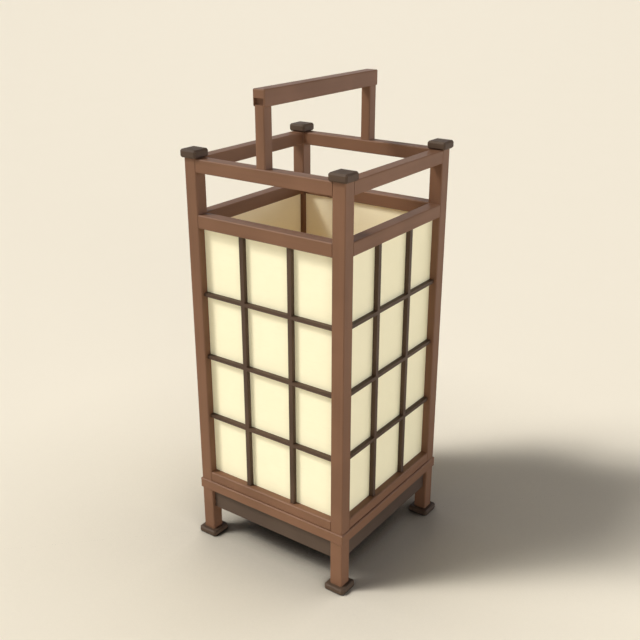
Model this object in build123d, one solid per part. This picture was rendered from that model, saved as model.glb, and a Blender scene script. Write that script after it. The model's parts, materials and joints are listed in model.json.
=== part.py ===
"""Andon floor lamp: a square paper lantern on a four-legged stand, with a fixed carrying handle.

Millimetres, +Z up. The origin is on the floor, at the middle of the four feet. The handle's crossbar
runs along Y. The lantern's four sides are alike: each piece is drawn on the front side (-Y), or at the
front left corner (-X, -Y), and turned a quarter turn about Z for the next one.
"""

import os

from build123d import *

# ---------------------------------------------------------------- driving sizes: stand
body_width = 282.0  # across the outer faces of the corner posts
post_size = 21.4  # square section of the corner posts and of the legs
edge_bevel = 1.3  # planed arris on posts, rails, legs and handle

foot_width = 35.4
foot_height = 10.0
foot_bevel = 2.0
foot_corner_bevel = 3.0  # on its four upright edges
leg_length = 77.3  # between the foot and the base frame
base_frame_height = 17.7
base_frame_width = 30.0
base_frame_overhang = 2.0  # beyond the outer faces of the posts
apron_height = 35.0
apron_thickness = 8.0
apron_set_back = 6.0  # behind the outer faces of the legs
board_thickness = 9.0
board_bearing = 10.3  # width of the rebate that carries the board

# ---------------------------------------------------------------- driving sizes: lantern body
rail_depth = 20.0
rail_set_back = 0.3  # behind the outer faces of the posts
lower_rail_height = 17.0
panel_opening_height = 417.0
upper_rail_height = 20.4
window_height = 63.0  # the open band under the top rails
top_rail_height = 20.0
post_rise = 0.3  # of the posts above the top rails
cap_width = 30.5
cap_height = 12.2
cap_bevel = 2.6

# ---------------------------------------------------------------- driving sizes: lattice and paper
lath_depth = 7.3
lath_set_back = 5.3  # behind the outer faces of the posts
upright_lath_width = 7.0
cross_lath_height = 5.5
upright_lath_count = 2
cross_lath_count = 3
cross_lath_drop = 1.0  # of the cross laths below an even spacing
lath_housing = 3.0  # how far the ends of the laths are let into posts and rails
paper_thickness = 2.0  # washi laminated on a clear sheet
paper_groove_depth = 4.0

# ---------------------------------------------------------------- driving sizes: handle
handle_rise = 83.8  # from the top rails to the crossbar
crossbar_width = 20.6
crossbar_height = 23.2
crossbar_overhang = 0.4  # past the outer faces of the uprights
handle_post_width = 16.2
handle_post_depth = 17.8
handle_post_set_back = 1.3  # behind the outer faces of the top rails
crossbar_notch_height = 11.4
handle_post_seat = 2.2  # of the upright at its full size into the notch
handle_tenon_set_back = 5.0  # the open notch left in the end of the crossbar

# ---------------------------------------------------------------- driving sizes: joinery
rail_tenon_length = 6.5
rail_tenon_thickness = 7.0
rail_tenon_shoulder = 4.6  # above and below each rail's tenon
apron_tenon_length = 5.0
apron_tenon_thickness = 5.0
apron_tenon_shoulder = 6.0
post_tenon_size = 10.0
post_tenon_length = 8.5  # down into the base frame
leg_tenon_length = 7.5  # up into the base frame
foot_tenon_length = 5.0
cap_tenon_length = 6.5
handle_tenon_size = 8.0
handle_tenon_length = 10.0  # down into the top rail
side_clearance = 0.05  # glue line round a tenon, each side
end_clearance = 0.5  # past the end of a tenon
paper_clearance = 0.3  # past the edge of a sheet in its groove
board_clearance = 0.3

# ---------------------------------------------------------------- driving sizes: lampholder and bulb
stem_diameter = 10.0  # hollow threaded stem that clamps the lampholder to the board
stem_bore = 8.0
stem_below_board = 7.0
nut_across_flats = 14.0
nut_height = 4.0
bush_bore = 6.8  # passage for the cord
bush_flange_diameter = 12.0
bush_flange_height = 1.6
bush_length = 9.0
bush_wall_clearance = 0.05
cup_neck_diameter = 16.0
cup_neck_height = 4.0
cup_flare_height = 9.0
cup_wall = 2.4
cup_height = 24.0
sleeve_diameter = 41.0
sleeve_wall = 2.3
sleeve_overlap = 8.0
sleeve_height = 42.0
sleeve_lip = 3.6
contact_block_height = 12.0
contact_block_inset = 6.0  # of the block's foot into the cup
screw_shell_bore = 26.7
screw_shell_wall = 0.5
screw_shell_height = 22.0
screw_shell_floor_hole = 14.0
contact_width = 5.0
contact_thickness = 0.8
contact_foot_length = 10.4
contact_tongue_length = 5.2
contact_rise = 4.6  # of the tongue's top over the block
bulb_diameter = 60.0
bulb_length = 110.0
bulb_contact_diameter = 9.0
bulb_contact_height = 1.2
bulb_insulator_diameter = 22.6
bulb_insulator_height = 2.2
bulb_cap_diameter = 26.2
bulb_cap_shoulder = 1.8
bulb_cap_length = 24.0
bulb_collar_diameter = 29.0
bulb_collar_height = 2.0
bulb_body_height = 40.0
bulb_rim_height = 3.0  # of the straight band under the globe
bulb_globe_wall = 1.5

# ---------------------------------------------------------------- driving sizes: screws
screw_length = 16.0
screw_shank_diameter = 3.4
screw_head_diameter = 7.0
screw_head_height = 2.2
screw_slot_width = 1.0
screw_slot_depth = 0.9
thread_clearance = 0.05

# ---------------------------------------------------------------- levels and planes worked out from them
half_body = body_width / 2
post_centre = half_body - post_size / 2
inner_face = half_body - post_size  # the faces that the rails run between

base_frame_bottom = foot_height + leg_length
base_frame_top = base_frame_bottom + base_frame_height
lower_rail_top = base_frame_top + lower_rail_height
upper_rail_bottom = lower_rail_top + panel_opening_height
upper_rail_top = upper_rail_bottom + upper_rail_height
top_rail_bottom = upper_rail_top + window_height
top_rail_top = top_rail_bottom + top_rail_height
post_top = top_rail_top + post_rise
crossbar_bottom = top_rail_top + handle_rise
crossbar_top = crossbar_bottom + crossbar_height

rail_outer = -half_body + rail_set_back
rail_inner = rail_outer + rail_depth
rail_middle = (rail_outer + rail_inner) / 2
lath_outer = -half_body + lath_set_back
lath_inner = lath_outer + lath_depth
lap_plane = (lath_outer + lath_inner) / 2
paper_outer = lath_inner
paper_inner = paper_outer + paper_thickness
apron_outer = -half_body + apron_set_back
apron_inner = apron_outer + apron_thickness
apron_middle = (apron_outer + apron_inner) / 2

base_frame_outer = half_body + base_frame_overhang
base_frame_inner = base_frame_outer - base_frame_width
board_pocket = base_frame_inner + board_bearing
board_bottom = base_frame_top - board_thickness
board_screw_offset = base_frame_inner + board_bearing / 2

handle_post_outer = rail_outer + handle_post_set_back
handle_post_inner = handle_post_outer + handle_post_depth
handle_tenon_middle = (handle_post_outer + handle_post_inner) / 2
crossbar_half_length = -handle_post_outer + crossbar_overhang

upright_lath_pitch = 2 * post_centre / (upright_lath_count + 1)
cross_lath_pitch = panel_opening_height / (cross_lath_count + 1)
upright_lath_places = [
    -post_centre + upright_lath_pitch * (index + 1) for index in range(upright_lath_count)
]
cross_lath_levels = [
    lower_rail_top + cross_lath_pitch * (index + 1) - cross_lath_drop for index in range(cross_lath_count)
]

side_names = ["front", "right", "back", "left"]
corner_names = ["front_left", "front_right", "back_right", "back_left"]


# ---------------------------------------------------------------- helpers
def block(x_limits, y_limits, z_limits):
    """A straight stick between two limits along each axis."""
    size = [high - low for low, high in (x_limits, y_limits, z_limits)]
    corner = Pos(x_limits[0], y_limits[0], z_limits[0])
    return corner * Box(*size, align=(Align.MIN, Align.MIN, Align.MIN))


def square_block(centre, width, z_limits):
    """A square stick standing at (centre, centre) on a corner's diagonal."""
    limits = (centre - width / 2, centre + width / 2)
    return block(limits, limits, z_limits)


def round_bar(diameter, z_limits):
    """A cylinder about the Z axis between two levels."""
    low, high = z_limits
    bar = Cylinder(diameter / 2, high - low, align=(Align.CENTER, Align.CENTER, Align.MIN))
    return Pos(0, 0, low) * bar


def turned_outline(*points):
    """A solid of revolution from a half section with straight edges, given as (radius, level)."""
    profile = make_face(Polyline(*points, close=True))
    return revolve(Plane.XZ * profile, Axis.Z)


def bevelled(solid, axis, bevel):
    """The solid with every edge along one axis planed off."""
    return chamfer(solid.edges().filter_by(axis), bevel)


def across_corner(solid):
    """The same shape on the other side of a corner: X and Y change places."""
    return mirror(solid, about=Plane(origin=(0, 0, 0), z_dir=(1, -1, 0)))


def mirrored_x(solid):
    """The same shape at the other end of a side."""
    return mirror(solid, about=Plane.YZ)


def save(name, part):
    """Write one sub-part to its own file."""
    export_step(part, f"parts/{name}.step")


def save_four(prefix, names, solid):
    """Write a part and its three quarter turns about Z."""
    for quarter, name in enumerate(names):
        save(f"{prefix}_{name}", Rot(0, 0, 90 * quarter) * solid)


# ---------------------------------------------------------------- joinery that two pieces share
def rail_tenon(z_limits, clearance=0.0, depth_clearance=0.0):
    """The tenon at a front rail's left end, or with clearances its mortise."""
    reach = rail_tenon_length + depth_clearance
    thickness = rail_tenon_thickness + 2 * clearance
    low = z_limits[0] + rail_tenon_shoulder - clearance
    high = z_limits[1] - rail_tenon_shoulder + clearance
    return block(
        (-inner_face - reach, -inner_face),
        (rail_middle - thickness / 2, rail_middle + thickness / 2),
        (low, high),
    )


def apron_tenon(clearance=0.0, depth_clearance=0.0):
    """The tenon at the front apron's left end, or with clearances its mortise."""
    reach = apron_tenon_length + depth_clearance
    thickness = apron_tenon_thickness + 2 * clearance
    low = base_frame_bottom - apron_height + apron_tenon_shoulder - clearance
    high = base_frame_bottom - apron_tenon_shoulder + clearance
    return block(
        (-inner_face - reach, -inner_face),
        (apron_middle - thickness / 2, apron_middle + thickness / 2),
        (low, high),
    )


def paper_groove_in_post():
    """The groove in the front left post that takes the front sheet's edge."""
    return block(
        (-inner_face - paper_groove_depth, -inner_face),
        (paper_outer, paper_inner),
        (lower_rail_top - paper_groove_depth, upper_rail_bottom + paper_groove_depth),
    )


def cross_lath_housing(level):
    """The pocket in the front left post that takes one end of a cross lath."""
    half_height = cross_lath_height / 2 + side_clearance
    return block(
        (-inner_face - lath_housing - side_clearance, -inner_face),
        (lath_outer - side_clearance, lath_inner),
        (level - half_height, level + half_height),
    )


def upright_lath_housing(place):
    """The pockets in the lower and the upper rail that take the ends of an upright lath."""
    half_width = upright_lath_width / 2 + side_clearance
    depth = lath_housing + side_clearance
    return block(
        (place - half_width, place + half_width),
        (lath_outer - side_clearance, lath_inner),
        (lower_rail_top - depth, upper_rail_bottom + depth),
    )


# ---------------------------------------------------------------- lantern body
rail_spans = {
    "lower_rail": (base_frame_top, lower_rail_top),
    "upper_rail": (upper_rail_bottom, upper_rail_top),
    "top_rail": (top_rail_bottom, top_rail_top),
}


def corner_post():
    """The front left post, mortised on its two inner faces and tenoned at both ends."""
    post = square_block(-post_centre, post_size, (base_frame_top, post_top))
    post = bevelled(post, Axis.Z, edge_bevel)
    lower_tenon_span = (base_frame_top - post_tenon_length, base_frame_top)
    post += square_block(-post_centre, post_tenon_size, lower_tenon_span)
    post += square_block(-post_centre, post_tenon_size, (post_top, post_top + cap_tenon_length))
    for span in rail_spans.values():
        mortise = rail_tenon(span, side_clearance, end_clearance)
        post -= mortise
        post -= across_corner(mortise)
    grooves = [paper_groove_in_post()]
    grooves += [cross_lath_housing(level) for level in cross_lath_levels]
    for groove in grooves:
        post -= groove
        post -= across_corner(groove)
    return post


def post_cap():
    """The dark square cap on the front left post, with a blind mortise in its underside."""
    cap = square_block(-post_centre, cap_width, (post_top, post_top + cap_height))
    cap = chamfer(cap.edges(), cap_bevel)
    socket_top = post_top + cap_tenon_length + end_clearance
    cap -= square_block(-post_centre, post_tenon_size + 2 * side_clearance, (post_top, socket_top))
    return cap


def rail(span):
    """A bare front rail with its two tenons."""
    stick = block((-inner_face, inner_face), (rail_outer, rail_inner), span)
    stick = bevelled(stick, Axis.X, edge_bevel)
    tenon = rail_tenon(span)
    return stick + tenon + mirrored_x(tenon)


def panel_rail(name):
    """A rail under or over the paper, grooved for the sheet and let in for the upright laths."""
    groove_span = (lower_rail_top - paper_groove_depth, upper_rail_bottom + paper_groove_depth)
    stick = rail(rail_spans[name])
    stick -= block((-half_body, half_body), (paper_outer, paper_inner), groove_span)
    for place in upright_lath_places:
        stick -= upright_lath_housing(place)
    return stick


def handle_mortise():
    """The blind mortise in the front top rail under the handle's upright."""
    half_width = handle_tenon_size / 2 + side_clearance
    return block(
        (-half_width, half_width),
        (handle_tenon_middle - half_width, handle_tenon_middle + half_width),
        (top_rail_top - handle_tenon_length - end_clearance, top_rail_top),
    )


def paper_sheet():
    """One sheet of laminated washi, held in grooves on its four edges."""
    edge = inner_face + paper_groove_depth - paper_clearance
    low = lower_rail_top - paper_groove_depth + paper_clearance
    high = upper_rail_bottom + paper_groove_depth - paper_clearance
    return block((-edge, edge), (paper_outer, paper_inner), (low, high))


def lattice():
    """The laths of one side, half-lapped where they cross and housed at their ends."""
    half_width = upright_lath_width / 2
    half_height = cross_lath_height / 2
    end_x = inner_face + lath_housing
    end_low = lower_rail_top - lath_housing
    end_high = upper_rail_bottom + lath_housing
    laths = []
    for place in upright_lath_places:
        lath = block((place - half_width, place + half_width), (lath_outer, lath_inner), (end_low, end_high))
        for level in cross_lath_levels:
            lath -= block(
                (place - half_width, place + half_width),
                (lath_outer, lap_plane),
                (level - half_height, level + half_height),
            )
        laths.append(lath)
    for level in cross_lath_levels:
        lath = block((-end_x, end_x), (lath_outer, lath_inner), (level - half_height, level + half_height))
        for place in upright_lath_places:
            lath -= block(
                (place - half_width, place + half_width),
                (lap_plane, lath_inner),
                (level - half_height, level + half_height),
            )
        laths.append(lath)
    return Compound(children=laths)


# ---------------------------------------------------------------- stand
def base_frame_rail():
    """The front member of the base frame, mitred at both ends and rebated for the board."""
    span = (base_frame_bottom, base_frame_top)
    bar = block((-base_frame_outer, base_frame_outer), (-base_frame_outer, -base_frame_inner), span)
    bar = bevelled(bar, Axis.X, edge_bevel)
    outline = block(
        (-base_frame_outer, base_frame_outer),
        (-base_frame_outer, base_frame_outer),
        span,
    )
    bar &= bevelled(outline, Axis.Z, edge_bevel)
    mitres = make_face(
        Polyline((0, 0), (-body_width, -body_width), (body_width, -body_width), close=True)
    )
    bar &= Pos(0, 0, base_frame_bottom) * extrude(mitres, base_frame_height)
    bar -= block((-board_pocket, board_pocket), (-board_pocket, board_pocket), (board_bottom, base_frame_top))
    mortise = square_block(-post_centre, post_tenon_size + 2 * side_clearance, span)
    bar -= mortise
    bar -= mirrored_x(mortise)
    pilot_bottom = base_frame_top - screw_length - end_clearance
    pilot = round_bar(screw_shank_diameter + 2 * thread_clearance, (pilot_bottom, board_bottom))
    bar -= Pos(0, -board_screw_offset, 0) * pilot
    return bar


def leg():
    """The front left leg, tenoned into the base frame and the foot, mortised for the aprons."""
    stick = square_block(-post_centre, post_size, (foot_height, base_frame_bottom))
    stick = bevelled(stick, Axis.Z, edge_bevel)
    stick += square_block(
        -post_centre, post_tenon_size, (base_frame_bottom, base_frame_bottom + leg_tenon_length)
    )
    stick += square_block(-post_centre, post_tenon_size, (foot_height - foot_tenon_length, foot_height))
    mortise = apron_tenon(side_clearance, end_clearance)
    stick -= mortise
    stick -= across_corner(mortise)
    return stick


def foot():
    """The dark square pad under the front left leg."""
    pad = square_block(-post_centre, foot_width, (0, foot_height))
    pad = bevelled(pad, Axis.Z, foot_corner_bevel)
    pad = chamfer(pad.edges().filter_by(Axis.Z, reverse=True), foot_bevel)
    socket_bottom = foot_height - foot_tenon_length - end_clearance
    pad -= square_block(-post_centre, post_tenon_size + 2 * side_clearance, (socket_bottom, foot_height))
    return pad


def apron():
    """The dark board between the two front legs, close under the base frame."""
    span = (base_frame_bottom - apron_height, base_frame_bottom)
    plank = block((-inner_face, inner_face), (apron_outer, apron_inner), span)
    plank = chamfer(plank.edges().filter_by(Axis.X).group_by(Axis.Z)[0], edge_bevel)
    tenon = apron_tenon()
    return plank + tenon + mirrored_x(tenon)


def board_screw_places():
    """The middle of each side of the board, over the rebate."""
    return [Rot(0, 0, 90 * quarter) * Pos(0, -board_screw_offset, 0) for quarter in range(4)]


def screw_head(extra=0.0):
    """The countersunk head of a board screw, or with an extra radius its countersink."""
    head_bottom = base_frame_top - screw_head_height
    return turned_outline(
        (0, head_bottom),
        (screw_shank_diameter / 2 + extra, head_bottom),
        (screw_head_diameter / 2 + extra, base_frame_top),
        (0, base_frame_top),
    )


def base_board():
    """The board inside the base frame that carries the lampholder."""
    edge = board_pocket - board_clearance
    board = block((-edge, edge), (-edge, edge), (board_bottom, base_frame_top))
    board -= round_bar(stem_diameter + 2 * thread_clearance, (board_bottom, base_frame_top))
    hole = round_bar(screw_shank_diameter + 2 * thread_clearance, (board_bottom, base_frame_top))
    hole += screw_head(thread_clearance)
    for place in board_screw_places():
        board -= place * hole
    return board


def board_screws():
    """Four countersunk wood screws that hold the board down in its rebate."""
    screw = screw_head()
    tip = base_frame_top - screw_length
    screw += round_bar(screw_shank_diameter, (tip, base_frame_top - screw_head_height))
    slot = block(
        (-screw_head_diameter, screw_head_diameter),
        (-screw_slot_width / 2, screw_slot_width / 2),
        (base_frame_top - screw_slot_depth, base_frame_top),
    )
    screw -= slot
    return Compound(children=[place * screw for place in board_screw_places()])


# ---------------------------------------------------------------- handle
def handle_post():
    """The front upright of the handle, tenoned into the top rail and the crossbar."""
    half_width = handle_post_width / 2
    post = block(
        (-half_width, half_width),
        (handle_post_outer, handle_post_inner),
        (top_rail_top, crossbar_bottom + handle_post_seat),
    )
    post = bevelled(post, Axis.Z, edge_bevel)
    half_tenon = handle_tenon_size / 2
    post += block(
        (-half_tenon, half_tenon),
        (handle_tenon_middle - half_tenon, handle_tenon_middle + half_tenon),
        (top_rail_top - handle_tenon_length, top_rail_top),
    )
    post += block(
        (-half_width, half_width),
        (handle_post_outer + handle_tenon_set_back, handle_post_inner),
        (crossbar_bottom, crossbar_bottom + crossbar_notch_height),
    )
    return post


def handle_crossbar():
    """The bar that is gripped, notched from below at both ends for the uprights."""
    half_width = crossbar_width / 2
    bar = block(
        (-half_width, half_width),
        (-crossbar_half_length, crossbar_half_length),
        (crossbar_bottom, crossbar_top),
    )
    bar = chamfer(bar.edges(), edge_bevel)
    half_notch = handle_post_width / 2 + side_clearance
    notch = block(
        (-half_notch, half_notch),
        (-crossbar_half_length, handle_post_inner + side_clearance),
        (crossbar_bottom, crossbar_bottom + crossbar_notch_height),
    )
    bar -= notch
    bar -= mirror(notch, about=Plane.XZ)
    return bar


# ---------------------------------------------------------------- lampholder
stem_bottom = board_bottom - stem_below_board
cup_bottom = base_frame_top + nut_height
cup_top = cup_bottom + cup_height
stem_top = cup_bottom + cup_neck_height + cup_wall
sleeve_inner = sleeve_diameter / 2 - sleeve_wall
cup_radius = sleeve_inner - thread_clearance
cup_cavity_radius = cup_radius - cup_wall
contact_block_bottom = cup_top - contact_block_inset
contact_block_top = contact_block_bottom + contact_block_height
sleeve_bottom = cup_top - sleeve_overlap
sleeve_top = sleeve_bottom + sleeve_height
screw_shell_bottom = contact_block_top
bulb_tip = screw_shell_bottom + contact_rise


def lampholder_stem():
    """The hollow stem through the board, with the cord's passage down its middle."""
    stem = round_bar(stem_diameter, (stem_bottom, stem_top))
    return stem - round_bar(stem_bore, (stem_bottom, stem_top))


def stem_nuts():
    """Two thin hexagon nuts that clamp the board."""
    hexagon = RegularPolygon(nut_across_flats / 2, 6, major_radius=False)
    nut = extrude(hexagon, nut_height) - round_bar(stem_diameter + 2 * thread_clearance, (0, nut_height))
    return Compound(children=[Pos(0, 0, board_bottom - nut_height) * nut, Pos(0, 0, base_frame_top) * nut])


def cord_bush():
    """The plastic bush in the foot of the stem that keeps the cord off the metal edge."""
    radius = stem_bore / 2 - bush_wall_clearance
    flange = bush_flange_diameter / 2
    bore = bush_bore / 2
    flange_bottom = stem_bottom - bush_flange_height
    return turned_outline(
        (bore, flange_bottom),
        (flange, flange_bottom),
        (flange, stem_bottom),
        (radius, stem_bottom),
        (radius, stem_bottom + bush_length),
        (bore, stem_bottom + bush_length),
    )


def lampholder_cup():
    """The moulded lower half of the lampholder, screwed on the stem."""
    neck = cup_neck_diameter / 2
    flare_top = cup_bottom + cup_neck_height + cup_flare_height
    outside = turned_outline(
        (0, cup_bottom),
        (neck, cup_bottom),
        (neck, cup_bottom + cup_neck_height),
        (cup_radius, flare_top),
        (cup_radius, cup_top),
        (0, cup_top),
    )
    floor = cup_bottom + cup_neck_height + cup_wall
    inside = turned_outline(
        (0, floor),
        (neck - cup_wall / 2, floor),
        (cup_cavity_radius, flare_top),
        (cup_cavity_radius, cup_top),
        (0, cup_top),
    )
    cup = outside - inside
    return cup - round_bar(stem_diameter + 2 * thread_clearance, (cup_bottom, floor))


def contact_block():
    """The ceramic block that carries the screw shell and the middle contact."""
    spigot = cup_cavity_radius - side_clearance
    flange = cup_radius
    return turned_outline(
        (0, contact_block_bottom),
        (spigot, contact_block_bottom),
        (spigot, cup_top),
        (flange, cup_top),
        (flange, contact_block_top),
        (0, contact_block_top),
    )


def lampholder_sleeve():
    """The moulded upper half of the lampholder, turned in at its mouth."""
    outer = sleeve_diameter / 2
    mouth = outer - sleeve_lip
    lip_bottom = sleeve_top - sleeve_wall
    return turned_outline(
        (sleeve_inner, sleeve_bottom),
        (outer, sleeve_bottom),
        (outer, sleeve_top - sleeve_wall / 2),
        (outer - sleeve_wall / 2, sleeve_top),
        (mouth, sleeve_top),
        (mouth, lip_bottom),
        (sleeve_inner, lip_bottom),
    )


def screw_shell():
    """The thin brass shell that the bulb's cap screws into."""
    bore = screw_shell_bore / 2
    outer = bore + screw_shell_wall
    floor_hole = screw_shell_floor_hole / 2
    floor_top = screw_shell_bottom + screw_shell_wall
    top = screw_shell_bottom + screw_shell_height
    return turned_outline(
        (floor_hole, screw_shell_bottom),
        (outer, screw_shell_bottom),
        (outer, top),
        (bore, top),
        (bore, floor_top),
        (floor_hole, floor_top),
    )


def middle_contact():
    """The strip bent up from the block to a tongue under the bulb's tip."""
    foot = contact_foot_length / 2
    tongue = contact_tongue_length / 2
    underside = Polyline(
        (foot, screw_shell_bottom),
        (-foot, screw_shell_bottom),
        (-tongue, bulb_tip),
        (tongue, bulb_tip),
    )
    strip = make_face(offset(underside, contact_thickness, side=Side.RIGHT))
    return Plane.XZ * extrude(strip, contact_width / 2, both=True)


# ---------------------------------------------------------------- bulb
bulb_cap_top = bulb_tip + bulb_cap_length
bulb_body_top = bulb_cap_top + bulb_body_height
bulb_top = bulb_tip + bulb_length


def bulb_cap():
    """The E26 screw cap, stepped down to its contact."""
    contact = bulb_contact_diameter / 2
    insulator = bulb_insulator_diameter / 2
    radius = bulb_cap_diameter / 2
    contact_top = bulb_tip + bulb_contact_height
    insulator_top = contact_top + bulb_insulator_height
    return turned_outline(
        (0, bulb_tip),
        (contact, bulb_tip),
        (contact, contact_top),
        (insulator, insulator_top),
        (radius, insulator_top + bulb_cap_shoulder),
        (radius, bulb_cap_top),
        (0, bulb_cap_top),
    )


def bulb_body():
    """The flared white body between the cap and the globe."""
    collar = bulb_collar_diameter / 2
    collar_top = bulb_cap_top + bulb_collar_height
    rim = bulb_diameter / 2
    return turned_outline(
        (0, bulb_cap_top),
        (collar, bulb_cap_top),
        (collar, collar_top),
        (rim, bulb_body_top - bulb_rim_height),
        (rim, bulb_body_top),
        (0, bulb_body_top),
    )


def bulb_globe():
    """The opal dome, a shell that stands on the body's rim."""
    radius = bulb_diameter / 2
    bore = radius - bulb_globe_wall
    centre = bulb_top - radius
    edges = [
        Line((bore, bulb_body_top), (radius, bulb_body_top)),
        Line((radius, bulb_body_top), (radius, centre)),
        CenterArc((0, centre), radius, 0, 90),
        Line((0, bulb_top), (0, bulb_top - bulb_globe_wall)),
        CenterArc((0, centre), bore, 0, 90),
        Line((bore, centre), (bore, bulb_body_top)),
    ]
    return revolve(Plane.XZ * make_face(Wire(edges)), Axis.Z)


# ---------------------------------------------------------------- write the sub-parts
os.makedirs("parts", exist_ok=True)

save_four("corner_post", corner_names, corner_post())
save_four("post_cap", corner_names, post_cap())
save_four("leg", corner_names, leg())
save_four("foot", corner_names, foot())

save_four("base_frame", side_names, base_frame_rail())
save_four("apron", side_names, apron())
save_four("lower_rail", side_names, panel_rail("lower_rail"))
save_four("upper_rail", side_names, panel_rail("upper_rail"))
save_four("paper", side_names, paper_sheet())
save_four("lattice", side_names, lattice())

plain_top_rail = rail(rail_spans["top_rail"])
handle_top_rail = plain_top_rail - handle_mortise()
for quarter, side in enumerate(side_names):
    top_rail = handle_top_rail if side in ("front", "back") else plain_top_rail
    save(f"top_rail_{side}", Rot(0, 0, 90 * quarter) * top_rail)

save("handle_post_front", handle_post())
save("handle_post_back", Rot(0, 0, 180) * handle_post())
save("handle_crossbar", handle_crossbar())

save("base_board", base_board())
save("board_screws", board_screws())
save("lampholder_stem", lampholder_stem())
save("stem_nuts", stem_nuts())
save("cord_bush", cord_bush())
save("lampholder_cup", lampholder_cup())
save("contact_block", contact_block())
save("lampholder_sleeve", lampholder_sleeve())
save("screw_shell", screw_shell())
save("middle_contact", middle_contact())

save("bulb_cap", bulb_cap())
save("bulb_body", bulb_body())
save("bulb_globe", bulb_globe())
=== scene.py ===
"""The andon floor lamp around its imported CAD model: finishes, threads, stage, lamps and camera.

Metres, +Z up, in the row frame. Every shown form comes from the CAD nodes, apart from the bulb's screw cap,
the holder's shell and the stem, which are drawn here with their threads.
"""

import json
import math

import bpy
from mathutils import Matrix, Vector


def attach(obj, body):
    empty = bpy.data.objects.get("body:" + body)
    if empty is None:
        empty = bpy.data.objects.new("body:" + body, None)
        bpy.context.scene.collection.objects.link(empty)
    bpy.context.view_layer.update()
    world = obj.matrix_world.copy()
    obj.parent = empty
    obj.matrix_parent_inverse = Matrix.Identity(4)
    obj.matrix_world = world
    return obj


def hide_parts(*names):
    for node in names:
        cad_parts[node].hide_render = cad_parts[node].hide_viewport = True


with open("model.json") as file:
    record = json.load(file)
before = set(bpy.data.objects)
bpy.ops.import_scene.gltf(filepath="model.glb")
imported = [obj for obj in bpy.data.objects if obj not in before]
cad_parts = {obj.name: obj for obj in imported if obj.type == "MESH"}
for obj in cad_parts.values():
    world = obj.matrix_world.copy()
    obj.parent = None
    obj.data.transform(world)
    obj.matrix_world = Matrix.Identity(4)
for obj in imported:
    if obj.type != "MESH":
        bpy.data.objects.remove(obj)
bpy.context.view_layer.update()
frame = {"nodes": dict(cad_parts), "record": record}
scene = bpy.context.scene


# ---------------------------------------------------------------- node helpers
def put(tree, kind, inputs=(), **settings):
    """A new node with its settings, and its inputs set to values or linked to sockets."""
    node = tree.nodes.new(kind)
    for key, value in settings.items():
        setattr(node, key, value)
    for key, value in dict(inputs).items():
        if isinstance(value, bpy.types.NodeSocket):
            tree.links.new(value, node.inputs[key])
        else:
            node.inputs[key].default_value = value
    return node


def maths(tree, operation, first, second=0.0):
    """One operation on two values, of which the second may be left out."""
    return put(tree, "ShaderNodeMath", {0: first, 1: second}, operation=operation).outputs[0]


def ramp(tree, value, low, high):
    """0 below low, 1 above high, smooth between."""
    node = put(tree, "ShaderNodeMapRange", {0: value, 1: low, 2: high}, interpolation_type="SMOOTHSTEP")
    return node.outputs[0]


def span(tree, value, low, high):
    """A value from 0 to 1 spread over low to high."""
    return put(tree, "ShaderNodeMapRange", {0: value, 3: low, 4: high}).outputs[0]


def blend(tree, share, first, second):
    """The first colour at a share of 0 and the second at 1."""
    node = put(tree, "ShaderNodeMix", {0: share, 6: first, 7: second}, data_type="RGBA")
    return node.outputs[2]


def noise(tree, vector, scale, detail=3.0, roughness=0.55, distortion=0.0):
    """Soft noise from 0 to 1, with scale features in each unit of the vector."""
    inputs = {"Vector": vector, "Scale": scale, "Detail": detail, "Roughness": roughness}
    inputs["Distortion"] = distortion
    return put(tree, "ShaderNodeTexNoise", inputs).outputs[0]


def stretched(tree, vector, scale):
    """The vector with each axis scaled by its own factor."""
    return put(tree, "ShaderNodeMapping", {"Vector": vector, "Scale": scale}).outputs[0]


def bump(tree, height, distance, strength=1.0):
    """A normal bent by a height from 0 to 1 over a distance in metres."""
    node = put(tree, "ShaderNodeBump", {"Height": height, "Distance": distance, "Strength": strength})
    return node.outputs[0]


def material(name, **constants):
    """A material with a Principled shader. Constants go on the shader's own sockets."""
    made = bpy.data.materials.new(name)
    made.use_nodes = True
    tree = made.node_tree
    tree.nodes.clear()
    shader = put(tree, "ShaderNodeBsdfPrincipled")
    for key, value in constants.items():
        shader.inputs[key.replace("_", " ")].default_value = value
    out = put(tree, "ShaderNodeOutputMaterial")
    tree.links.new(shader.outputs[0], out.inputs[0])
    place = put(tree, "ShaderNodeTexCoord").outputs["Object"]
    return made, tree, shader, place


def drive(tree, shader, **sockets):
    """Link sockets to the shader's inputs, named with underscores for spaces."""
    for key, socket in sockets.items():
        tree.links.new(socket, shader.inputs[key.replace("_", " ")])


def planed_edges(tree):
    """1 on faces that lean across two axes, which are the planed arrises, and 0 on the flat faces."""
    normal = put(tree, "ShaderNodeNewGeometry").outputs["True Normal"]
    parts = put(tree, "ShaderNodeSeparateXYZ", {0: normal}).outputs
    sizes = [maths(tree, "ABSOLUTE", part) for part in parts]
    largest = maths(tree, "MAXIMUM", maths(tree, "MAXIMUM", sizes[0], sizes[1]), sizes[2])
    return ramp(tree, largest, 0.95, 0.85)


# ---------------------------------------------------------------- wood
CROSS_LATH_PITCH = 0.10425
LOWEST_CROSS_LATH = 0.22525
CROSS_LATH_HALF_HEIGHT = 0.0028

# how closely the marks follow each other along and across the grain, per metre
STREAK_DENSITY = (2.4, 62.0)
PORE_DENSITY = (38.0, 900.0)
CLOUD_DENSITY = 9.0
PORE_SHARE = 0.22
# how far the arrises are lightened, as wear and as painted highlight
ARRIS_WEAR_AND_HIGHLIGHT_GAIN = 1.45
WOOD_RELIEF = 0.00012


def grain_scale(axis, along, across):
    """Three factors: one along the grain's axis and the other on the two axes across it."""
    return tuple(along if axis == letter else across for letter in "XYZ")


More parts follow.
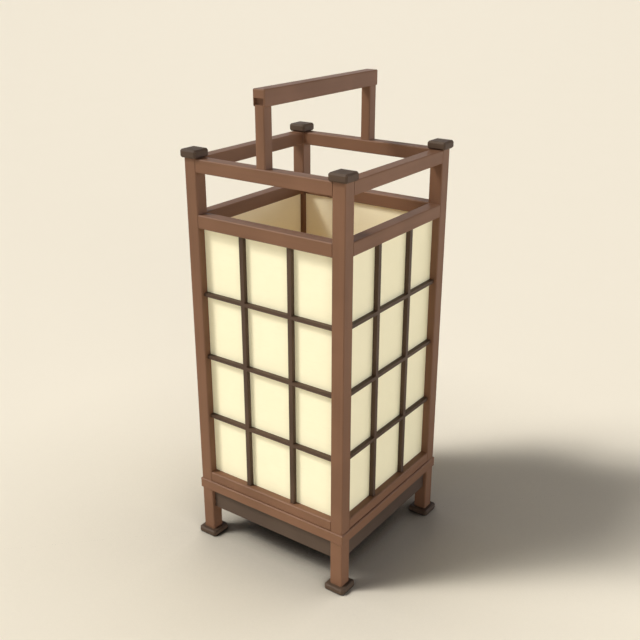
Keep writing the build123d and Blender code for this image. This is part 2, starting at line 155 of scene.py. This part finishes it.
def cross_laths(tree, place):
    """1 on the cross laths of a lattice and 0 on its upright ones."""
    level = put(tree, "ShaderNodeSeparateXYZ", {0: place}).outputs[2]
    above = maths(tree, "SUBTRACT", level, LOWEST_CROSS_LATH)
    distance = maths(tree, "PINGPONG", above, CROSS_LATH_PITCH / 2)
    return maths(tree, "LESS_THAN", distance, CROSS_LATH_HALF_HEIGHT)


def grain(tree, place, shift, axis, cross_axis, density):
    """The shifted place squeezed along the grain, which turns to a second axis on a lattice's cross laths."""
    shifted = put(tree, "ShaderNodeVectorMath", {0: place, 1: shift}, operation="ADD").outputs[0]
    squeezed = stretched(tree, shifted, grain_scale(axis, *density))
    if cross_axis is None:
        return squeezed
    turned = stretched(tree, shifted, grain_scale(cross_axis, *density))
    crossing = cross_laths(tree, place)
    return put(tree, "ShaderNodeMix", {0: crossing, 4: squeezed, 5: turned}, data_type="VECTOR").outputs[1]


def wood(name, tones, roughness, axis, cross_axis=None, edge=0.12):
    """Straight-grained wood under a satin oil: slow streaks, fine pores, and arrises lightened partly as wear
    and partly as a painted highlight.
    """
    made, tree, shader, place = material(name, Specular_IOR_Level=0.45)
    deep, mid, pale = (tone + (1,) for tone in tones)
    stick = put(tree, "ShaderNodeObjectInfo").outputs["Random"]
    streaks = noise(tree, grain(tree, place, stick, axis, cross_axis, STREAK_DENSITY), 1.0, 4.0, 0.6, 0.35)
    pores = noise(tree, grain(tree, place, stick, axis, cross_axis, PORE_DENSITY), 1.0, 2.0, 0.5)
    cloud = noise(tree, place, CLOUD_DENSITY, 2.0)
    colour = blend(tree, ramp(tree, streaks, 0.36, 0.66), deep, mid)
    colour = blend(tree, ramp(tree, cloud, 0.35, 0.75), colour, pale)
    flecks = maths(tree, "MULTIPLY", ramp(tree, pores, 0.60, 0.78), PORE_SHARE)
    colour = blend(tree, flecks, colour, deep)
    # painted highlight: the planed arrises turn towards a paler tone, partly as wear and partly for the light
    # they catch
    wear_and_highlight = maths(tree, "MULTIPLY", planed_edges(tree), edge)
    colour = blend(tree, wear_and_highlight, colour, tuple(ARRIS_WEAR_AND_HIGHLIGHT_GAIN * part for part in tones[2]) + (1,))
    gloss = span(tree, streaks, roughness + 0.05, roughness - 0.05)
    relief = maths(tree, "ADD", maths(tree, "MULTIPLY", streaks, 0.5), maths(tree, "MULTIPLY", pores, 0.5))
    drive(tree, shader, Base_Color=colour, Roughness=gloss, Normal=bump(tree, relief, WOOD_RELIEF, 0.6))
    return made


# each wood's deep, middle and pale tone
FRAME_TONES = ((0.160, 0.073, 0.036), (0.184, 0.085, 0.042), (0.201, 0.094, 0.048))
LATTICE_TONES = ((0.056, 0.028, 0.014), (0.069, 0.036, 0.020), (0.083, 0.044, 0.024))
APRON_TONES = ((0.056, 0.033, 0.0195), (0.070, 0.041, 0.0275), (0.082, 0.051, 0.033))
CAP_TONES = ((0.058, 0.032, 0.018), (0.073, 0.041, 0.023), (0.086, 0.051, 0.029))
BOARD_TONES = ((0.30, 0.19, 0.11), (0.36, 0.235, 0.14), (0.40, 0.27, 0.165))

frame_wood = {axis: wood(f"frame_wood_{axis.lower()}", FRAME_TONES, 0.62, axis) for axis in "XYZ"}
apron_wood = {axis: wood(f"apron_wood_{axis.lower()}", APRON_TONES, 0.58, axis) for axis in "XY"}
lattice_wood = {axis: wood(f"lattice_wood_{axis.lower()}", LATTICE_TONES, 0.58, "Z", axis) for axis in "XY"}
cap_wood = wood("cap_wood", CAP_TONES, 0.70, "X", edge=0.05)


# ---------------------------------------------------------------- washi
PAPER_CLOUD_DENSITY = 34.0
PAPER = ((0.902, 0.826, 0.596, 1), (0.916, 0.840, 0.612, 1))
FIBRE = (0.85, 0.76, 0.54, 1)
FIBRE_SHARE = 0.2
FIBRE_DENSITY = (40.0, 620.0)  # along and across a fibre, per metre
FIBRE_LAYERS = ((0.35, 1.0), (1.25, 1.25), (2.2, 0.85), (2.9, 1.1))  # turn in radians and scale of each layer
PAPER_RELIEF = 0.00008
# painted glow of the paper: colours and levels of a fixed emission on its outer and inner face
OUTER_PAINTED_GLOW = (1.0, 1.06, 0.58, 1)
INNER_PAINTED_GLOW = (0.96, 0.61, 0.33, 1)
OUTER_PAINTED_GLOW_LEVEL = 0.066
INNER_PAINTED_GLOW_LEVEL = 0.076


def washi():
    """Cream mulberry paper on a clear sheet: long tangled fibres and soft clouds.

    The outer and the inner face carry a painted glow in their own tones, a fixed emission that stands in for
    light coming through the paper and for the brighter inside of the shade, though the bulb is not lit:
    outside where the normal points away from the lamp.
    """
    made, tree, shader, place = material("washi", Specular_IOR_Level=0.25)
    cloud = noise(tree, place, PAPER_CLOUD_DENSITY, 4.0, 0.6)
    fibres = None
    for turn, scale in FIBRE_LAYERS:
        along, across = (density * scale for density in FIBRE_DENSITY)
        spun = put(
            tree,
            "ShaderNodeMapping",
            {"Vector": place, "Rotation": (turn, turn, turn), "Scale": (along, across, across)},
        ).outputs[0]
        strand = ramp(tree, noise(tree, spun, 1.0, 1.0, 0.4, 1.6), 0.66, 0.72)
        fibres = strand if fibres is None else maths(tree, "MAXIMUM", fibres, strand)
    colour = blend(tree, ramp(tree, cloud, 0.3, 0.7), *PAPER)
    colour = blend(tree, maths(tree, "MULTIPLY", fibres, FIBRE_SHARE), colour, FIBRE)
    relief = maths(tree, "ADD", maths(tree, "MULTIPLY", cloud, 0.4), fibres)
    gloss = span(tree, fibres, 0.62, 0.74)
    drive(tree, shader, Base_Color=colour, Roughness=gloss, Normal=bump(tree, relief, PAPER_RELIEF, 0.5))
    normal = put(tree, "ShaderNodeNewGeometry").outputs["True Normal"]
    facing = put(tree, "ShaderNodeVectorMath", {0: normal, 1: place}, operation="DOT_PRODUCT")
    outer = ramp(tree, facing.outputs["Value"], -0.02, 0.02)
    # painted glow, weaker on the fibres, in place of light coming through the paper and lighting the inside
    level = maths(
        tree, "MULTIPLY", span(tree, outer, INNER_PAINTED_GLOW_LEVEL, OUTER_PAINTED_GLOW_LEVEL), span(tree, fibres, 1.0, 0.85)
    )
    drive(tree, shader, Emission_Color=blend(tree, outer, INNER_PAINTED_GLOW, OUTER_PAINTED_GLOW), Emission_Strength=level)
    return made


# ---------------------------------------------------------------- lampholder and bulb
MOULD_CLOUD_DENSITY = 40.0
SKIN_DENSITY = 260.0
TARNISH_DENSITY = 150.0
SKIN_RELIEF = 0.00004
MARK_RELIEF = 0.00003


def moulded(name, first, second, gloss, **constants):
    """Moulded or glazed stuff: a faint cloud in its colour, uneven polish and a fine skin."""
    made, tree, shader, place = material(name, **constants)
    cloud = noise(tree, place, MOULD_CLOUD_DENSITY, 3.0)
    skin = noise(tree, place, SKIN_DENSITY, 2.0)
    colour = blend(tree, ramp(tree, cloud, 0.3, 0.7), first, second)
    drive(tree, shader, Base_Color=colour, Roughness=span(tree, cloud, gloss - 0.06, gloss + 0.06))
    drive(tree, shader, Normal=bump(tree, skin, SKIN_RELIEF, 0.5))
    return made


def metal(name, first, second, gloss, mark_density):
    """Metal with a little tarnish and turning marks, whose density per metre has a value for each axis."""
    made, tree, shader, place = material(name, Metallic=1.0)
    marks = noise(tree, stretched(tree, place, mark_density), 1.0, 3.0)
    tarnish = noise(tree, place, TARNISH_DENSITY, 4.0)
    colour = blend(tree, ramp(tree, tarnish, 0.35, 0.75), first, second)
    drive(tree, shader, Base_Color=colour, Roughness=span(tree, marks, gloss - 0.08, gloss + 0.10))
    drive(tree, shader, Normal=bump(tree, marks, MARK_RELIEF, 0.4))
    return made


FINISHES = {
    "washi": washi(),
    "board_ply": wood("board_ply", BOARD_TONES, 0.6, "X", edge=0.0),
    "steel": metal("steel", (0.56, 0.56, 0.57, 1), (0.44, 0.44, 0.45, 1), 0.34, (500.0, 500.0, 2500.0)),
    "black_plastic": moulded("black_plastic", (0.022, 0.022, 0.022, 1), (0.032, 0.032, 0.032, 1), 0.5),
    "phenolic": moulded("phenolic", (0.022, 0.016, 0.013, 1), (0.034, 0.025, 0.020, 1), 0.26),
    "ceramic": moulded("ceramic", (0.80, 0.78, 0.72, 1), (0.86, 0.84, 0.79, 1), 0.22, Coat_Weight=0.3),
    "brass": metal("brass", (0.72, 0.52, 0.24, 1), (0.56, 0.38, 0.16, 1), 0.30, (300.0, 300.0, 2200.0)),
    "nickel": metal("nickel", (0.66, 0.65, 0.62, 1), (0.54, 0.53, 0.50, 1), 0.26, (300.0, 300.0, 2200.0)),
    "bulb_plastic": moulded("bulb_plastic", (0.82, 0.82, 0.80, 1), (0.86, 0.86, 0.84, 1), 0.38),
    "opal": moulded(
        "opal",
        (0.88, 0.87, 0.83, 1),
        (0.92, 0.91, 0.87, 1),
        0.30,
        Subsurface_Weight=0.4,
        Subsurface_Scale=0.003,
    ),
}


# ---------------------------------------------------------------- finishes on the CAD nodes
SLOTS = {part["node"]: part["material_slot"] for part in frame["record"]["subparts"]}
SIDE_AXIS = {"front": "X", "back": "X", "left": "Y", "right": "Y"}


def grain_axis(node):
    """The axis that a stick runs along, from its name. Caps, feet and the board take X."""
    if node == "handle_crossbar":
        return "Y"
    if node.startswith(("corner_post", "leg_", "handle_post")):
        return "Z"
    return SIDE_AXIS.get(node.rsplit("_", 1)[-1], "X")


def finish_of(node):
    """The material of a CAD node, from its slot in the record and its name."""
    slot = SLOTS[node]
    if slot == "frame_wood":
        return frame_wood[grain_axis(node)]
    if node.startswith("apron"):
        return apron_wood[grain_axis(node)]
    if node.startswith("lattice"):
        return lattice_wood[grain_axis(node)]
    if slot == "dark_wood":
        return cap_wood
    return FINISHES[slot]


for node, thing in frame["nodes"].items():
    thing.data.materials.clear()
    thing.data.materials.append(finish_of(node))


# ---------------------------------------------------------------- threads
def extent(node):
    """The lowest level, the highest level and the radius of a round CAD node."""
    corners = frame["nodes"][node].bound_box
    levels = [corner[2] for corner in corners]
    return min(levels), max(levels), max(corner[0] for corner in corners)


def levels_between(low, high, step):
    """Even levels from low to high, about a step apart."""
    count = max(1, round((high - low) / step))
    return [low + (high - low) * index / count for index in range(count + 1)]


def threaded(name, node, body, slot, rings, pitch, closed, columns=64):
    """A turned piece from rings of (radius, level, thread depth), which stands for a CAD node.

    A closed section runs back to its first ring, and an open one has its ends filled.
    """
    points = []
    for radius, level, depth in rings:
        for column in range(columns):
            angle = 2 * math.pi * column / columns
            wave = 0.5 - 0.5 * math.cos(2 * math.pi * level / pitch - angle)
            reach = radius - depth * wave
            points.append((reach * math.cos(angle), reach * math.sin(angle), level))
    faces = []
    for ring in range(len(rings) if closed else len(rings) - 1):
        here, above = ring * columns, (ring + 1) % len(rings) * columns
        for column in range(columns):
            beside = (column + 1) % columns
            faces.append((here + column, here + beside, above + beside, above + column))
    if not closed:
        last = len(points) - columns
        faces.append(tuple(reversed(range(columns))))
        faces.append(tuple(range(last, last + columns)))
    mesh = bpy.data.meshes.new(name)
    mesh.from_pydata(points, [], faces)
    mesh.materials.append(FINISHES[slot])
    for polygon in mesh.polygons:
        polygon.use_smooth = len(polygon.vertices) == 4
    piece = bpy.data.objects.new(name, mesh)
    scene.collection.objects.link(piece)
    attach(piece, body)
    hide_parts(node)


EDISON_PITCH = 0.00363  # of an E26 thread
STEM_PITCH = 0.001  # of an M10 lamp thread


def threaded_cap():
    """The bulb's nickel cap: contact button, cone, rolled thread and plain skirt."""
    low, high, crest = extent("bulb_cap")
    contact, cone, depth = 0.0045, 0.0113, 0.00075
    root, skirt, rim = crest - depth, crest - 0.0003, crest - 0.0005
    contact_top, cone_top = low + 0.0012, low + 0.0034
    thread_bottom, thread_top = low + 0.0056, high - 0.0042
    rounding, lead, neck = 0.0004, 0.0003, 0.001
    rings = [(contact - rounding, low, 0), (contact, low + lead, 0), (contact, contact_top, 0)]
    rings += [(cone, cone_top, 0), (root, thread_bottom - rounding, 0)]
    rings += [(crest, level, depth) for level in levels_between(thread_bottom, thread_top, EDISON_PITCH / 7)]
    rings += [(root, thread_top + lead, 0), (skirt, thread_top + neck, 0)]
    rings += [(skirt, high - rounding, 0), (rim, high, 0)]
    threaded("cap_thread", "bulb_cap", "bulb", "nickel", rings, EDISON_PITCH, closed=False)


def threaded_shell():
    """The holder's brass shell, pressed from thin sheet, so that its thread shows on both faces."""
    low, high, outer = extent("screw_shell")
    wall, depth, hole, lead = 0.0003, 0.0004, 0.007, 0.0004
    root, collar = outer - depth, outer - depth / 2
    thread_bottom, thread_top = low + 0.002, high - 0.0018
    levels = levels_between(thread_bottom, thread_top, EDISON_PITCH / 6)
    rings = [(hole, low, 0), (root, low, 0), (root, thread_bottom - lead, 0)]
    rings += [(outer, level, depth) for level in levels]
    rings += [(collar, thread_top + lead, 0), (collar, high, 0)]
    rings += [(collar - wall, high, 0), (collar - wall, thread_top + lead, 0)]
    rings += [(outer - wall, level, depth) for level in reversed(levels)]
    rings += [(root - wall, thread_bottom - lead, 0), (root - wall, low + wall, 0)]
    rings.append((hole, low + wall, 0))
    threaded("shell_thread", "screw_shell", "lamp_frame", "brass", rings, EDISON_PITCH, closed=True)


def threaded_stem():
    """The hollow steel stem, with its thread cut where it shows below the board."""
    low, high, crest = extent("lampholder_stem")
    bore, depth, lead = 0.004, 0.0004, 0.0003
    thread_top = low + 0.007
    rings = [(bore, low, 0), (crest - depth, low, 0)]
    rings += [(crest, level, depth) for level in levels_between(low + lead, thread_top, STEM_PITCH / 6)]
    rings += [(crest, thread_top + lead, 0), (crest, high, 0), (bore, high, 0)]
    threaded("stem_thread", "lampholder_stem", "lamp_frame", "steel", rings, STEM_PITCH, closed=True)


threaded_cap()
threaded_shell()
threaded_stem()


# ---------------------------------------------------------------- camera
CAMERA_PLACE = Vector((0.76180, -1.06640, 0.90877))
CAMERA_YAW = -0.62030
CAMERA_PITCH = -0.38663

camera_data = bpy.data.cameras.new("camera")
camera_data.lens = 50.0
camera_data.sensor_width = 36.0
camera_data.clip_end = 200.0
camera = bpy.data.objects.new("camera", camera_data)
scene.collection.objects.link(camera)
look = Vector(
    (
        math.sin(CAMERA_YAW) * math.cos(CAMERA_PITCH),
        math.cos(CAMERA_YAW) * math.cos(CAMERA_PITCH),
        math.sin(CAMERA_PITCH),
    )
)
camera.location = CAMERA_PLACE
camera.rotation_euler = look.to_track_quat("-Z", "Y").to_euler()
scene.camera = camera


# ---------------------------------------------------------------- stage
FLOOR_REACH = 60.0
FLOOR_CLOUD_DENSITY = 3.0
FLOOR_TONES = ((0.955, 0.867, 0.732, 1), (0.963, 0.875, 0.740, 1))
SHADE_REACH = 0.6


def floor():
    """A plain pale floor. Where it is seen, painted shade darkens it close to the lamp, as the photograph's
    floor does.
    """
    mesh = bpy.data.meshes.new("floor")
    corners = [(-1, -1), (1, -1), (1, 1), (-1, 1)]
    mesh.from_pydata([(x * FLOOR_REACH, y * FLOOR_REACH, 0) for x, y in corners], [], [(0, 1, 2, 3)])
    made, tree, shader, place = material("floor", Roughness=0.9, Specular_IOR_Level=0.1)
    pale = blend(tree, noise(tree, place, FLOOR_CLOUD_DENSITY, 2.0), *FLOOR_TONES)
    # painted shade: the floor's colour for camera and mirror rays darkens with its occlusion near the lamp,
    # more steeply where little is open
    openness = put(tree, "ShaderNodeAmbientOcclusion", {"Distance": SHADE_REACH}, samples=16).outputs["AO"]
    openness = maths(tree, "MULTIPLY", openness, ramp(tree, openness, 0.08, 0.45))
    painted_shade_colour = blend(tree, openness, (0.0, 0.0, 0.0, 1), pale)
    path = put(tree, "ShaderNodeLightPath").outputs
    mirrored = maths(tree, "MAXIMUM", path["Is Glossy Ray"], path["Is Transmission Ray"])
    seen = maths(tree, "MAXIMUM", path["Is Camera Ray"], mirrored)
    drive(tree, shader, Base_Color=blend(tree, seen, pale, painted_shade_colour))
    mesh.materials.append(made)
    plane = bpy.data.objects.new("floor", mesh)
    scene.collection.objects.link(plane)


floor()

world = bpy.data.worlds.new("world")
scene.world = world
world.use_nodes = True
background = world.node_tree.nodes["Background"]
background.inputs["Color"].default_value = (1.0, 1.0, 0.97, 1)
background.inputs["Strength"].default_value = 0.11


def sun(name, azimuth, elevation, spread, level, colour=(1.0, 1.0, 1.0)):
    """A soft distant lamp. At level 1 a white face square to it renders white. Azimuth 0 is +X, 90 is +Y."""
    data = bpy.data.lights.new(name, "SUN")
    data.energy = level * math.pi
    data.color = colour
    data.angle = math.radians(spread)
    turn, rise = math.radians(azimuth), math.radians(elevation)
    towards = Vector((math.cos(turn) * math.cos(rise), math.sin(turn) * math.cos(rise), math.sin(rise)))
    lamp = bpy.data.objects.new(name, data)
    lamp.rotation_euler = (-towards).to_track_quat("-Z", "Y").to_euler()
    scene.collection.objects.link(lamp)


WARM = (1.0, 1.0, 0.96)
COOL = (0.96, 0.97, 1.03)
sun("key", azimuth=222, elevation=51, spread=9, level=0.355, colour=WARM)
sun("key_low", azimuth=222, elevation=40, spread=20, level=0.432, colour=WARM)
sun("key_edge", azimuth=229, elevation=51, spread=14, level=0.20, colour=WARM)
sun("right", azimuth=30, elevation=7, spread=30, level=0.212, colour=COOL)
sun("right_back", azimuth=60, elevation=7, spread=30, level=0.195, colour=COOL)
sun("back", azimuth=125, elevation=7, spread=30, level=0.15)
sun("right_front", azimuth=322, elevation=7, spread=30, level=0.22)
sun("front", azimuth=250, elevation=14, spread=45, level=0.072)

scene.view_settings.view_transform = "Standard"
